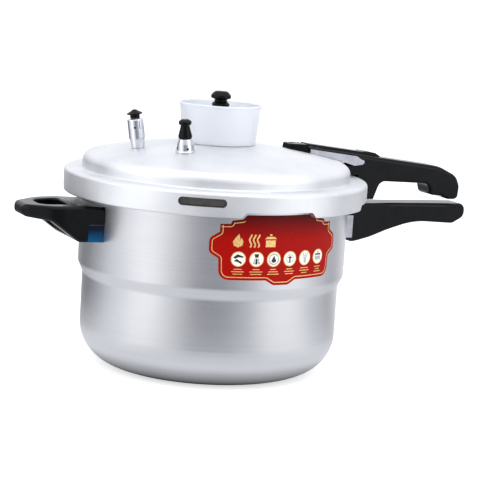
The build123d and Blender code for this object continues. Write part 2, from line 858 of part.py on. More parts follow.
def make_nose():
    """Moulded guard over the float valve, at the handle's inner end."""
    start = arm_start - guard_length - 0.8
    end = arm_start - 0.8
    top = dome_z(end) + 8.4
    side = side_slab([
        (start, dome_z(start) - 5, 0),
        (start + 1.8, top + 0.3, 0),
        (end, top, 0),
        (end, dome_z(end) - 5, 0),
    ], 13)
    plan = plan_slab([
        (start - 1, -9, 0),
        (end, -13, 0),
        (end, 13, 0),
        (start - 1, 9, 0),
    ], crown - 40, crown + 20)
    nose = side & plan
    front_edges = nose.edges().filter_by(lambda e: e.center().X < start + 3 and abs(e.center().Y) > 5)
    nose = fillet(front_edges.filter_by(lambda e: e.length > 5), 4.0)
    nose = fillet(nose.faces().sort_by(Axis.Z)[-1].edges(), 1.2)
    nose -= Pos(0, 0, dome_centre) * Sphere(dome_radius + 0.05)
    nose -= dome_plane(float_radius, 0) * Cylinder(3.6, 40)
    nose -= dome_plane(guard_screw_place, 0) * Cylinder(small_screw_radius, 40)
    nose -= dome_plane(guard_screw_place, 0) * Pos(0, 0, 15 + 3.0) * Cylinder(2.9, 30)
    return nose


def make_nose_screw():
    """Screw from above, through the guard and the dome."""
    screw = Pos(0, 0, -1.5) * Cylinder(small_screw_radius, 9.0)
    screw += Pos(0, 0, 4.0) * Cylinder(2.7, 2.0)
    screw += Pos(0, 0, -lid_wall - under_gap - 1.2) * Cylinder(2.8, 2.4)
    screw -= Pos(0, 0, 5.0) * Box(6, 0.8, 1.2)
    return dome_plane(guard_screw_place, 0) * screw


def make_slider():
    """Lock slider on the arm: long plate, ribbed thumb pad, rib through the slot."""
    length = leg_inner + 28 - arm_start
    plate = extrude(Plane.XZ * rounded_face([
        (1.2, slide_gap, 0),
        (1.2, slide_gap + slider_thickness - 0.3, 0.6),
        (length - 22, slide_gap + slider_thickness, 3),
        (length - 18, slide_gap + slider_thickness + 0.9, 2),
        (length - 6, slide_gap + slider_thickness + 0.7, 2),
        (length, slide_gap + 0.8, 0.4),
        (length, slide_gap, 0),
    ]), amount=slider_width / 2, both=True)
    outline = plate.edges().filter_by(lambda e: abs(abs(e.center().Y) - slider_width / 2) < 0.01
                                      and e.center().Z > slide_gap + 0.5)
    plate = fillet(outline, 0.5)
    groove_height = slide_gap + slider_thickness + 0.95
    for i in range(5):
        plate -= Pos(length - 17.5 + i * 2.6, 0, groove_height) * Box(0.9, slider_width + 2, 0.7)
    rib_low = -arm_thickness - lid_bracket_sheet - slide_gap
    rib = Pos(catch_start - arm_start + 0.5 + (lock_catch_length - 1.0) / 2, 0, (rib_low + 1.0) / 2) * Box(
        lock_catch_length - 1.0, 6.0, 1.0 - rib_low)
    return arm_plane() * (plate + rib)


def make_catch():
    """Steel plate under the bracket that holds the slider down."""
    low = -arm_thickness - lid_bracket_sheet - slide_gap - lock_catch_thickness
    x = catch_start - arm_start + lock_catch_length / 2
    plate = Box(lock_catch_length, lock_catch_width, lock_catch_thickness)
    plate = Pos(x, 0, low + lock_catch_thickness / 2) * plate
    return arm_plane() * fillet(plate.edges().filter_by(Axis.Z), 1.5)


# ---------------------------------------------------------------- valves
def neck(bore):
    """Threaded neck that goes down through the lid."""
    return tube(neck_radius, bore, -neck_length, 0.1)


def make_seal():
    """Silicone washer between lid and nut."""
    return tube(neck_radius + 3.5, neck_radius, -lid_wall - seal_thickness, -lid_wall - under_gap)


def make_nut():
    low = -lid_wall - seal_thickness - nut_height
    nut = hexagon(nut_flats, neck_radius, low, low + nut_height)
    return nut & turned([
        (0, low, 0),
        (nut_flats / 2, low, 0),
        (nut_flats / 2 + 1.4, low + 0.8, 0),
        (nut_flats / 2 + 1.4, low + nut_height, 0),
        (0, low + nut_height, 0),
    ])


def make_front_body():
    """Chrome bell over the seat, with steam holes round its foot."""
    shell = turned([
        (0, 0.05, 0),
        (bell_radius, 0.05, 0.4),
        (bell_radius, 1.6, 0.5),
        (bell_radius - 0.7, 2.2, 0.4),
        (bell_radius - 1.5, 8.0, 12),
        (bell_top_radius, bell_height, 1.0),
        (0, bell_height, 0),
    ])
    shell += neck(0)
    shell -= turned([
        (0, bell_floor, 0),
        (6.3, bell_floor, 0.5),
        (5.9, 8.0, 4),
        (4.6, bell_height - 2.4, 0.5),
        (0, bell_height - 2.4, 0),
    ])
    shell -= tube(2.2, 0, -neck_length - 1, bell_floor + 1)
    shell -= tube(stem_radius + running_play, 0, bell_height - 4, bell_height + 1)
    for i in range(4):
        shell -= Rot(0, 0, 45 + i * 90) * Pos(7, 0, 4.4) * Rot(0, 90, 0) * Cylinder(1.25, 8)
    return shell


def make_front_plunger():
    """Valve plug on its stem."""
    low = bell_floor + seat_gap
    return turned([
        (0, low, 0),
        (3.9, low, 0.3),
        (3.9, low + 2.2, 0.3),
        (stem_radius, low + 2.2, 0),
        (stem_radius, bell_height + 12, 0.3),
        (0, bell_height + 12, 0),
    ])


def make_front_spring():
    return coil_spring(3.0, bell_floor + seat_gap + 2.2, bell_height - 2.4, 4)


def make_front_knob():
    """Fluted moulded knob with a button top."""
    low = bell_height + 0.4
    body = turned([
        (stem_radius, low, 0),
        (6.6, low, 0.5),
        (6.7, low + 1.8, 0.8),
        (4.4, low + 11.0, 1.5),
        (4.4, low + 12.2, 0.8),
        (6.1, low + 13.6, 1.2),
        (6.1, low + 16.2, 1.3),
        (3.2, low + 18.0, 2.0),
        (0, low + 18.0, 0),
        (0, bell_height + 12, 0),
        (stem_radius, bell_height + 12, 0),
    ])
    for i in range(12):
        groove = Pos(6.9, 0, low + 6.2) * Rot(0, -14, 0) * Cylinder(0.75, 9.4)
        body -= Rot(0, 0, i * 30) * groove
    return body


def make_relief_body():
    """Chrome barrel with a narrower foot, hollow for the spring."""
    shell = turned([
        (0, 0.05, 0),
        (6.3, 0.05, 0.6),
        (7.3, 8.6, 0.2),
        (7.3, 9.2, 0.2),
        (relief_radius, 9.4, 0.1),
        (relief_radius, relief_height, 1.2),
        (0, relief_height, 0),
    ])
    shell += neck(0)
    shell -= turned([
        (0, relief_floor, 0),
        (4.9, relief_floor, 0.4),
        (5.6, 9.0, 2),
        (6.4, 12.0, 2),
        (6.4, relief_height - 2.6, 0.5),
        (0, relief_height - 2.6, 0),
    ])
    shell -= tube(2.2, 0, -neck_length - 1, relief_floor + 1)
    shell -= tube(stem_radius + 0.4 + running_play, 0, relief_height - 5, relief_height + 1)
    for i in range(3):
        shell -= Rot(0, 0, 60 + i * 120) * Pos(7, 0, 20.5) * Rot(0, 90, 0) * Cylinder(1.0, 8)
    return shell


def make_relief_plunger():
    low = relief_floor + seat_gap
    stem = stem_radius + 0.4
    return turned([
        (0, low, 0),
        (4.3, low, 0.3),
        (4.3, low + 2.6, 0.3),
        (stem, low + 2.6, 0),
        (stem, relief_height + 5.4, 0.3),
        (0, relief_height + 5.4, 0),
    ])


def make_relief_spring():
    return coil_spring(3.3, relief_floor + seat_gap + 2.6, relief_height - 2.6, 6)


def make_relief_cap():
    """Black cap: short neck and a low roof with a nub."""
    stem = stem_radius + 0.4
    low = relief_height + 0.4
    return turned([
        (stem, low, 0),
        (4.7, low, 0.3),
        (4.7, low + 3.6, 0.6),
        (7.5, low + 4.0, 0.3),
        (7.6, low + 5.0, 0.4),
        (2.6, low + 7.6, 1.0),
        (2.0, low + 8.4, 0.5),
        (0, low + 8.4, 0),
        (0, relief_height + 5.4, 0),
        (stem, relief_height + 5.4, 0),
    ])


def make_vent_pipe():
    """Centre steam pipe with a cone on top for the regulator."""
    body = turned([
        (0, 0.05, 0),
        (8.0, 0.05, 0.4),
        (8.0, 3.4, 0.6),
        (4.4, 4.0, 0.6),
        (4.0, vent_top - 3.0, 0.4),
        (2.4, vent_top, 0.3),
        (0, vent_top, 0),
    ])
    body += neck(0)
    return body - tube(1.3, 0, -neck_length - 1, vent_top + 1)


def make_cover():
    """Slotted cap under the vent that keeps food out of the pipe."""
    top = -lid_wall - seal_thickness - nut_height
    low = top - cover_depth
    shell = turned([
        (0, low, 0),
        (cover_radius, low, 2.0),
        (cover_radius, top - 1.2, 0.5),
        (neck_radius, top - 1.2, 0),
        (neck_radius, top, 0),
        (cover_radius + 1.0, top, 0.4),
        (cover_radius + 1.0, low + 1, 2.5),
        (cover_radius - 2, low - 1.2, 2.0),
        (0, low - 1.2, 0),
    ])
    for i in range(8):
        shell -= Rot(0, 0, i * 45) * Pos(cover_radius + 1, 0, (low + top) / 2) * Box(6, 2.2, cover_depth - 4)
        shell -= Rot(0, 0, i * 45) * Pos(6.5, 0, low) * Cylinder(1.2, 6)
    return shell - tube(1.5, 0, low - 5, low + 3)


def make_weight():
    """Regulator weight: rests on the pipe's cone, open below."""
    low = weight_base
    top = low + weight_height
    slope_gap = seat_gap
    return turned([
        (4.9, low, 0.4),
        (weight_radius - 1.5, low, 0.8),
        (weight_radius, low + 3.0, 1.0),
        (weight_radius, top - 2.0, 0.8),
        (weight_radius - 2.2, top, 0.5),
        (0, top, 0),
        (0, vent_top + slope_gap, 0),
        (2.5, vent_top + slope_gap, 0),
        (4.9, vent_top - 3.0, 0.4),
    ])


def make_regulator_knob():
    """Mushroom grip on the weight."""
    low = weight_base + weight_height
    return turned([
        (0, low, 0),
        (8.0, low, 0.4),
        (9.0, low + 3.6, 0.8),
        (6.2, low + 6.6, 1.5),
        (6.4, low + 8.2, 1.0),
        (knob_radius, low + 9.4, 1.4),
        (knob_radius, low + 12.4, 2.0),
        (6.4, low + 16.6, 5.0),
        (0, low + 16.6, 0),
    ])


def make_cup():
    """Splash cup: thin wall, turned-out lip, open foot that follows the dome."""
    top = cup_height
    foot = dome_z(cup_base_radius) - crown + 0.3
    inner_foot = dome_z(cup_hole_radius) - crown + 0.4
    return turned([
        (cup_hole_radius, inner_foot, 0),
        (cup_base_radius - 4, foot + 0.3, 0),
        (cup_base_radius, foot, 1.0),
        (cup_top_radius, top - 3.0, 3),
        (cup_top_radius + cup_lip, top - 1.4, 0.5),
        (cup_top_radius + cup_lip, top, 0.6),
        (cup_top_radius - cup_wall, top, 0.6),
        (cup_top_radius - cup_wall - 0.1, top - 3.0, 4),
        (cup_base_radius - cup_wall, foot + 1.9, 2.0),
        (cup_hole_radius, inner_foot + 1.6, 0),
    ])


def make_float_bush():
    """Metal bush pressed into the dome for the float pin."""
    bore = float_pin_radius + running_play
    bush = tube(float_bush_radius, bore, -lid_wall - 1, -0.1)
    return bush + tube(6.0, bore, -lid_wall - 1.8, -lid_wall - under_gap)


def float_head():
    """Height of the pin's lower head: it meets the bush at the end of the travel."""
    return -lid_wall - 1.8 - float_travel - 1.2


def make_float_pin():
    """Pin that pressure pushes up, with a retaining head at each end."""
    low = float_head()
    return turned([
        (0, low - 2.0, 0),
        (4.0, low - 2.0, 0.5),
        (4.0, low, 0.4),
        (float_pin_radius, low, 0),
        (float_pin_radius, 0.3, 0),
        (3.0, 0.3, 0.2),
        (3.0, 1.6, 0.8),
        (0, 1.6, 0),
    ])


def make_float_seal():
    """Silicone ring on the pin's lower head."""
    return tube(3.8, float_pin_radius, float_head(), float_head() + 0.9)


vent = Pos(0, 0, crown)
front = dome_plane(front_valve_radius, front_valve_azimuth)
relief = dome_plane(relief_valve_radius, relief_valve_azimuth)
float_place = dome_plane(float_radius, float_azimuth)

pieces = {
    "pot_body": make_pot(),
    "front_label": make_label(),
    "body_handle_bracket": make_body_bracket(),
    "body_bracket_rivets": make_rivets(body_rivet_angles, body_tongue_height),
    "body_handle": make_body_handle(),
    "body_handle_screws": make_body_screws(),
    "lock_striker": make_striker(),
    "helper_handle_bracket": make_helper_bracket(),
    "helper_bracket_rivets": make_rivets(helper_rivet_angles, helper_tongue_height),
    "helper_bracket_film": make_bracket_film(),
    "helper_handle": make_helper_handle(),
    "helper_handle_screw": make_helper_screw(),
    "canning_rack": make_rack(),
    "sealing_gasket": make_gasket(),
    "lid_shell": make_lid(),
    "lid_handle_bracket": make_lid_bracket(),
    "lid_bracket_rivets": make_lid_rivets(),
    "lid_handle": make_lid_handle(),
    "lid_handle_screws": make_lid_screws(),
    "float_guard": make_nose(),
    "float_guard_screw": make_nose_screw(),
    "lock_slider": make_slider(),
    "lock_catch": make_catch(),
    "vent_pipe": vent * make_vent_pipe(),
    "vent_seal": vent * make_seal(),
    "vent_nut": vent * make_nut(),
    "vent_cover": vent * make_cover(),
    "regulator_weight": vent * make_weight(),
    "regulator_knob": vent * make_regulator_knob(),
    "splash_cup": vent * make_cup(),
    "front_valve_body": front * make_front_body(),
    "front_valve_seal": front * make_seal(),
    "front_valve_nut": front * make_nut(),
    "front_valve_plunger": front * make_front_plunger(),
    "front_valve_spring": front * make_front_spring(),
    "front_valve_knob": front * make_front_knob(),
    "relief_valve_body": relief * make_relief_body(),
    "relief_valve_seal": relief * make_seal(),
    "relief_valve_nut": relief * make_nut(),
    "relief_valve_plunger": relief * make_relief_plunger(),
    "relief_valve_spring": relief * make_relief_spring(),
    "relief_valve_cap": relief * make_relief_cap(),
    "float_bush": float_place * make_float_bush(),
    "float_pin": float_place * make_float_pin(),
    "float_seal": float_place * make_float_seal(),
}

for name, piece in pieces.items():
    save(piece, name)
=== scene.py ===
import math
import bmesh
import bpy
from mathutils import Matrix, Vector


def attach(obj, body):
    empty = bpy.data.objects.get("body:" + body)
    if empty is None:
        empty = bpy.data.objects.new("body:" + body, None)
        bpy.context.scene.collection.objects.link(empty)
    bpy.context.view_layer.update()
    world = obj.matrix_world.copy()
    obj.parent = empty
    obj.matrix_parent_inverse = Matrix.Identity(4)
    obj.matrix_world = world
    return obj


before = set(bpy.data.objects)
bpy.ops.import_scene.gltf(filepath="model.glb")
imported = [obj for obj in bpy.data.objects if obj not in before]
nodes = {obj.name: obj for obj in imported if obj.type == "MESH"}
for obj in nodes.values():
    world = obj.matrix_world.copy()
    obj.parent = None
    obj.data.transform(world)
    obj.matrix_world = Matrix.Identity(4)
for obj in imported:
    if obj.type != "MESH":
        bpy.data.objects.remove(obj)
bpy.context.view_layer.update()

mm = 0.001


def linear(hexColour, alpha=1.0):
    channels = [int(hexColour[i:i + 2], 16) / 255 for i in (1, 3, 5)]
    straight = [c / 12.92 if c <= 0.04045 else ((c + 0.055) / 1.055) ** 2.4 for c in channels]
    return (*straight, alpha)


def addNode(tree, kind, values=None, links=None, **settings):
    made = tree.nodes.new("ShaderNode" + kind)
    for name, value in settings.items():
        setattr(made, name, value)
    for name, value in (values or {}).items():
        made.inputs[name].default_value = value
    for name, source in (links or {}).items():
        tree.links.new(source, made.inputs[name])
    return made


def newMaterial(name, colour, shaderValues):
    material = bpy.data.materials.new(name)
    material.use_nodes = True
    tree = material.node_tree
    tree.nodes.clear()
    shader = addNode(tree, "BsdfPrincipled", {"Base Color": linear(colour), **shaderValues})
    addNode(tree, "OutputMaterial", links={"Surface": shader.outputs["BSDF"]})
    place = addNode(tree, "TexCoord").outputs["Object"]
    return material, tree, shader, place


def setRamp(ramp, stops):
    stops = list(stops)
    elements = ramp.color_ramp.elements
    while len(elements) < len(stops):
        elements.new(0.5)
    for element, (position, colour) in zip(elements, stops):
        element.position = position
        element.color = linear(colour)


def perMetre(sizeInMillimetres):
    return 1000 / sizeInMillimetres  # a texture's scale, from the real size of one repeat


noiseSpan = (0.3, 0.7)      # where nearly all of a noise texture's values lie


def mapPattern(tree, value, limits):
    return addNode(tree, "MapRange", {"From Min": noiseSpan[0], "From Max": noiseSpan[1], "To Min": limits[0],
                                      "To Max": limits[1]}, {"Value": value})


def mixPatterns(tree, fine, broad, broadShare):
    part = addNode(tree, "Math", {1: broadShare}, {0: broad.outputs["Fac"]}, operation="MULTIPLY")
    return addNode(tree, "Math", {1: 1 - broadShare}, {0: fine.outputs["Fac"], 2: part.outputs["Value"]},
                   operation="MULTIPLY_ADD")


# aluminium, spun on a lathe and left satin: faint rings round the axis stretch each highlight upwards
spunAluminium = {
    "colour": "#D2D3D6",
    "shade": "#CACBCF",
    "roughness": (0.28, 0.34),
    "ringPitch": 0.9,       # mm, turning marks are nearer 0.3 and are drawn coarser so they show
    "ringDepth": 0.002,     # mm
    "cloud": 55,            # mm, slow change of sheen from handling and polishing
    "cloudShare": 0.5,
    "toneStops": (0.35, 0.6),
    "anisotropy": 0.6,
}


def makeSpunAluminium(name, look):
    material, tree, shader, place = newMaterial(name, look["colour"], {
        "Metallic": 1.0, "Roughness": look["roughness"][0], "Anisotropic": look["anisotropy"]})
    axes = addNode(tree, "SeparateXYZ", links={"Vector": place})
    flat = addNode(tree, "CombineXYZ", {"Z": 0.0}, {"X": axes.outputs["X"], "Y": axes.outputs["Y"]})
    radius = addNode(tree, "VectorMath", links={0: flat.outputs["Vector"]}, operation="LENGTH")
    profile = addNode(tree, "CombineXYZ", {"Y": 0.0}, {"X": radius.outputs["Value"], "Z": axes.outputs["Z"]})
    rings = addNode(tree, "TexNoise", {"Scale": perMetre(look["ringPitch"]), "Detail": 3.0, "Roughness": 0.6},
                    {"Vector": profile.outputs["Vector"]})
    clouds = addNode(tree, "TexNoise", {"Scale": perMetre(look["cloud"]), "Detail": 4.0, "Roughness": 0.55},
                     {"Vector": place})
    mixed = mixPatterns(tree, rings, clouds, look["cloudShare"])
    sheen = mapPattern(tree, mixed.outputs["Value"], look["roughness"])
    tone = addNode(tree, "ValToRGB", links={"Fac": mixed.outputs["Value"]})
    setRamp(tone, zip(look["toneStops"], (look["shade"], look["colour"])))
    bump = addNode(tree, "Bump", {"Strength": 1.0, "Distance": look["ringDepth"] * mm},
                   {"Height": rings.outputs["Fac"]})
    alongRings = addNode(tree, "Tangent", direction_type="RADIAL", axis="Z")
    for socket, source in (("Base Color", tone.outputs["Color"]), ("Roughness", sheen.outputs["Result"]),
                           ("Normal", bump.outputs["Normal"]), ("Tangent", alongRings.outputs["Tangent"])):
        tree.links.new(source, shader.inputs[socket])
    return material


# aluminium, pressed then bead blasted: an even fine grain, softer and whiter than the spun wall
blastedAluminium = {
    "colour": "#E2E3E6",
    "shade": "#D6D8DB",
    "roughness": (0.46, 0.56),
    "grain": 0.7,           # mm, beads leave 0.15 mm dimples, drawn coarser so they show
    "grainDepth": 0.004,    # mm
    "cloud": 40,            # mm
}

# cold rolled sheet, cut and folded: light grey with streaks along the roll
rolledSheet = {
    "colour": "#A6A7B0",
    "shade": "#888A92",
    "roughness": (0.26, 0.42),
    "grain": 0.6,           # mm
    "grainDepth": 0.004,    # mm
    "cloud": 12,            # mm
}

# mill finish aluminium, punched: dull with soft drag marks
millAluminium = {
    "colour": "#CFD0D2",
    "shade": "#B5B6BA",
    "roughness": (0.3, 0.46),
    "grain": 0.8,           # mm
    "grainDepth": 0.006,    # mm
    "cloud": 25,            # mm
}

# zinc plated steel: bluish grey, slightly mottled where the plating is thick
zincPlate = {
    "colour": "#C4C7CC",
    "shade": "#8F939B",
    "roughness": (0.2, 0.38),
    "grain": 0.5,           # mm
    "grainDepth": 0.003,    # mm
    "cloud": 2.5,           # mm, spangle
}

# drawn spring wire, oil tempered: darker and a little brown
springWire = {
    "colour": "#9C9A98",
    "shade": "#6C6A69",
    "roughness": (0.22, 0.36),
    "grain": 0.3,           # mm
    "grainDepth": 0.002,    # mm
    "cloud": 3,             # mm
}

# chrome plate over polished brass: a mirror with a faint long wave
chromePlate = {
    "colour": "#DFE0E6",
    "shade": "#CFD1D8",
    "roughness": (0.03, 0.08),
    "grain": 4.0,           # mm, the polisher's wave under the plate
    "grainDepth": 0.006,    # mm
    "cloud": 9,             # mm
}


grainedMetal = {"cloudShare": 0.6, "toneStops": (0.36, 0.6)}    # shared by the metals above


def makeGrainedMetal(name, look):
    material, tree, shader, place = newMaterial(name, look["colour"], {
        "Metallic": 1.0, "Roughness": look["roughness"][0]})
    grain = addNode(tree, "TexNoise", {"Scale": perMetre(look["grain"]), "Detail": 2.0, "Roughness": 0.6},
                    {"Vector": place})
    clouds = addNode(tree, "TexNoise", {"Scale": perMetre(look["cloud"]), "Detail": 4.0, "Roughness": 0.55},
                     {"Vector": place})
    mixed = mixPatterns(tree, grain, clouds, grainedMetal["cloudShare"])
    sheen = mapPattern(tree, mixed.outputs["Value"], look["roughness"])
    tone = addNode(tree, "ValToRGB", links={"Fac": mixed.outputs["Value"]})
    setRamp(tone, zip(grainedMetal["toneStops"], (look["shade"], look["colour"])))
    bump = addNode(tree, "Bump", {"Strength": 1.0, "Distance": look["grainDepth"] * mm},
                   {"Height": grain.outputs["Fac"]})
    for socket, source in (("Base Color", tone.outputs["Color"]), ("Roughness", sheen.outputs["Result"]),
                           ("Normal", bump.outputs["Normal"])):
        tree.links.new(source, shader.inputs[socket])
    return material


# phenolic (bakelite), compression moulded in a polished tool: deep black gloss with a faint orange peel
mouldedPhenolic = {
    "colour": "#050608",
    "flow": "#0B0C0F",
    "roughness": (0.1, 0.18),
    "peel": 2.2,            # mm
    "peelDepth": 0.006,     # mm
    "flowLines": 18,        # mm, where the powder met in the tool
    "ior": 1.52,
    "specular": 0.13,
}

# silicone rubber, moulded: dull and slightly dusty; its colour is darkened as painted shade, standing in for
# the shade seen through the slot in the lid's skirt
siliconeWithPaintedShade = {
    # painted shade: this dark grey stands in for the shade in the lid's slot and is much darker than the
    # silicone itself
    "colour": "#3E3B3A",
    "flow": "#4A4745",
    "roughness": (0.45, 0.6),
    "peel": 0.8,            # mm
    "peelDepth": 0.008,     # mm
    "flowLines": 10,        # mm
    "ior": 1.41,
    "specular": 0.3,
}


def makeMoulded(name, look):
    material, tree, shader, place = newMaterial(name, look["colour"], {
        "Roughness": look["roughness"][0], "IOR": look["ior"], "Specular IOR Level": look["specular"]})
    peel = addNode(tree, "TexNoise", {"Scale": perMetre(look["peel"]), "Detail": 1.0, "Roughness": 0.4},
                   {"Vector": place})
    flow = addNode(tree, "TexNoise", {"Scale": perMetre(look["flowLines"]), "Detail": 5.0, "Roughness": 0.6,
                                      "Distortion": 0.8}, {"Vector": place})
    tone = addNode(tree, "ValToRGB", links={"Fac": flow.outputs["Fac"]})
    setRamp(tone, zip((0.35, 0.7), (look["colour"], look["flow"])))
    sheen = mapPattern(tree, flow.outputs["Fac"], look["roughness"])
    bump = addNode(tree, "Bump", {"Strength": 1.0, "Distance": look["peelDepth"] * mm},
                   {"Height": peel.outputs["Fac"]})
    for socket, source in (("Base Color", tone.outputs["Color"]), ("Roughness", sheen.outputs["Result"]),
                           ("Normal", bump.outputs["Normal"])):
        tree.links.new(source, shader.inputs[socket])
    return material


# polypropylene, injection moulded thin and uncoloured: milky, light comes through it softly
mouldedPolypropylene = {
    "colour": "#F2F6FF",
    "roughness": (0.28, 0.42),
    "peel": 1.6,            # mm
    "peelDepth": 0.01,      # mm
    "transmission": 0.4,
    "subsurface": 0.6,
    "depth": 0.004,         # m that light travels inside
    "ior": 1.49,
}


def makePolypropylene(name, look):
    material, tree, shader, place = newMaterial(name, look["colour"], {
        "Roughness": look["roughness"][0], "IOR": look["ior"], "Transmission Weight": look["transmission"],
        "Subsurface Weight": look["subsurface"], "Subsurface Scale": look["depth"],
        "Subsurface Radius": (1.0, 1.0, 1.0)})
    peel = addNode(tree, "TexNoise", {"Scale": perMetre(look["peel"]), "Detail": 2.0}, {"Vector": place})
    sheen = addNode(tree, "MapRange", {"To Min": look["roughness"][0], "To Max": look["roughness"][1]},
                    {"Value": peel.outputs["Fac"]})
    bump = addNode(tree, "Bump", {"Strength": 1.0, "Distance": look["peelDepth"] * mm},
                   {"Height": peel.outputs["Fac"]})
    tree.links.new(sheen.outputs["Result"], shader.inputs["Roughness"])
    tree.links.new(bump.outputs["Normal"], shader.inputs["Normal"])
    return material


# printed polyester label and peel-off film: flat ink under gloss, with a colour that changes with height
printedFilm = {
    "low": "#960500",
    "high": "#4C0507",
    "fade": (148, 171),     # mm above the base, where the colour darkens towards the top
    "roughness": (0.2, 0.32),
    "grain": 1.2,           # mm, dot screen drawn coarser than the real 0.2
    "grainDepth": 0.004,    # mm
    "ior": 1.5,
    "specular": 0.09,
}
blueFilm = {
    "low": "#07527C",
    "high": "#081428",
    "fade": (131, 143),     # mm above the base, where the colour darkens towards the top
    "roughness": (0.12, 0.22),
    "grain": 3.0,           # mm, small wrinkles
    "grainDepth": 0.004,    # mm
    "ior": 1.5,
    "specular": 0.09,
}


def makeFilm(name, look):
    material, tree, shader, place = newMaterial(name, look["low"], {
        "Roughness": look["roughness"][0], "IOR": look["ior"], "Specular IOR Level": look["specular"]})
    axes = addNode(tree, "SeparateXYZ", links={"Vector": place})
    height = addNode(tree, "MapRange", {"From Min": look["fade"][0] * mm, "From Max": look["fade"][1] * mm},
                     {"Value": axes.outputs["Z"]})
    tone = addNode(tree, "ValToRGB", links={"Fac": height.outputs["Result"]})
    setRamp(tone, [(0.0, look["low"]), (1.0, look["high"])])
    grain = addNode(tree, "TexNoise", {"Scale": perMetre(look["grain"]), "Detail": 2.0}, {"Vector": place})
    sheen = addNode(tree, "MapRange", {"To Min": look["roughness"][0], "To Max": look["roughness"][1]},
                    {"Value": grain.outputs["Fac"]})
    bump = addNode(tree, "Bump", {"Strength": 1.0, "Distance": look["grainDepth"] * mm},
                   {"Height": grain.outputs["Fac"]})
    for socket, source in (("Base Color", tone.outputs["Color"]), ("Roughness", sheen.outputs["Result"]),
                           ("Normal", bump.outputs["Normal"])):
        tree.links.new(source, shader.inputs[socket])
    return material


# screen printed inks on the label: slightly raised, gold has a little metal in it
inks = {
    "goldInk": {"colour": "#E3BF7C", "shade": "#C99A55", "metallic": 0.35, "roughness": 0.34},
    "creamInk": {"colour": "#F3EEE4", "shade": "#E2D9C8", "metallic": 0.0, "roughness": 0.36},
    "greyInk": {"colour": "#AEB2B4", "shade": "#7F8588", "metallic": 0.0, "roughness": 0.36},
    "blackInk": {"colour": "#1B1B1E", "shade": "#2A2A2E", "metallic": 0.0, "roughness": 0.32},
}
inkSurface = {"ior": 1.5, "grain": 1.5, "grainDepth": 0.003, "toneStops": (0.3, 0.55)}    # grain in mm


def makeInk(name, look):
    material, tree, shader, place = newMaterial(name, look["colour"], {
        "Metallic": look["metallic"], "Roughness": look["roughness"], "IOR": inkSurface["ior"]})
    grain = addNode(tree, "TexNoise", {"Scale": perMetre(inkSurface["grain"]), "Detail": 2.0},
                    {"Vector": place})
    tone = addNode(tree, "ValToRGB", links={"Fac": grain.outputs["Fac"]})
    setRamp(tone, zip(inkSurface["toneStops"], (look["shade"], look["colour"])))
    bump = addNode(tree, "Bump", {"Strength": 1.0, "Distance": inkSurface["grainDepth"] * mm},
                   {"Height": grain.outputs["Fac"]})
    tree.links.new(tone.outputs["Color"], shader.inputs["Base Color"])
    tree.links.new(bump.outputs["Normal"], shader.inputs["Normal"])
    return material


finishes = {
    "pot_aluminium": makeSpunAluminium("spunSatinAluminium", spunAluminium),
    "lid_aluminium": makeGrainedMetal("beadBlastedAluminium", blastedAluminium),
    "rack_aluminium": makeGrainedMetal("millFinishAluminium", millAluminium),
    "bracket_steel": makeGrainedMetal("rolledSteelSheet", rolledSheet),
    "black_bakelite": makeMoulded("mouldedBlackPhenolic", mouldedPhenolic),
    "chrome": makeGrainedMetal("polishedChromePlate", chromePlate),
    "zinc_steel": makeGrainedMetal("zincPlatedSteel", zincPlate),
    "spring_steel": makeGrainedMetal("drawnSpringWire", springWire),
    "silicone": makeMoulded("siliconeWithPaintedShade", siliconeWithPaintedShade),
    "label_film": makeFilm("printedRedFilm", printedFilm),
    "blue_film": makeFilm("peelOffBlueFilm", blueFilm),
    "cup_plastic": makePolypropylene("mouldedPolypropylene", mouldedPolypropylene),
}
inkMaterials = {name: makeInk(name, look) for name, look in inks.items()}

nodeFinish = {
    "pot_aluminium": ["pot_body"],
    "lid_aluminium": ["lid_shell"],
    "rack_aluminium": ["canning_rack"],
    "bracket_steel": ["body_handle_bracket", "helper_handle_bracket", "lid_handle_bracket"],
    "black_bakelite": ["body_handle", "helper_handle", "lid_handle", "float_guard", "lock_slider",
                       "regulator_knob", "front_valve_knob", "relief_valve_cap"],
    "chrome": ["front_valve_body", "relief_valve_body", "regulator_weight", "vent_pipe",
               "front_valve_plunger", "relief_valve_plunger", "float_pin"],
    "zinc_steel": ["body_bracket_rivets", "helper_bracket_rivets", "lid_bracket_rivets", "body_handle_screws",
                   "helper_handle_screw", "lid_handle_screws", "float_guard_screw", "lock_striker",
                   "lock_catch", "vent_nut", "vent_cover", "front_valve_nut", "relief_valve_nut",
                   "float_bush"],
    "spring_steel": ["front_valve_spring", "relief_valve_spring"],
    "silicone": ["sealing_gasket", "vent_seal", "front_valve_seal", "relief_valve_seal", "float_seal"],
    "label_film": ["front_label"],
    "blue_film": ["helper_bracket_film"],
    "cup_plastic": ["splash_cup"],
}
for slotName, members in nodeFinish.items():
    for member in members:
        mesh = nodes[member].data
        mesh.materials.clear()
        mesh.materials.append(finishes[slotName])
print("finishes on", sum(len(members) for members in nodeFinish.values()), "pieces")


# label print: border, badges and ornaments, thin raised layers of ink bent round the wall
labelPrint = {
    "azimuth": -84.7,       # degrees, centre of the label
    "wallRadius": 133.3,    # mm, the label's own face
    "sink": 0.02,           # mm, how far each layer's back goes into the film
    "layer": 0.05,          # mm, ink thickness
    "step": 2.0,            # mm between the cuts that let a shape follow the curve
    "top": 171.8,           # mm above the base
    "height": 66.0,
    "halfWidth": 68.5,
    "lobe": 8.2,
    "borderInset": 2.3,     # mm in from the label's edge
    "borderWidth": 0.75,
    "topMargin": 2.9,       # mm, the red runs on up behind the lid's skirt without a line
}


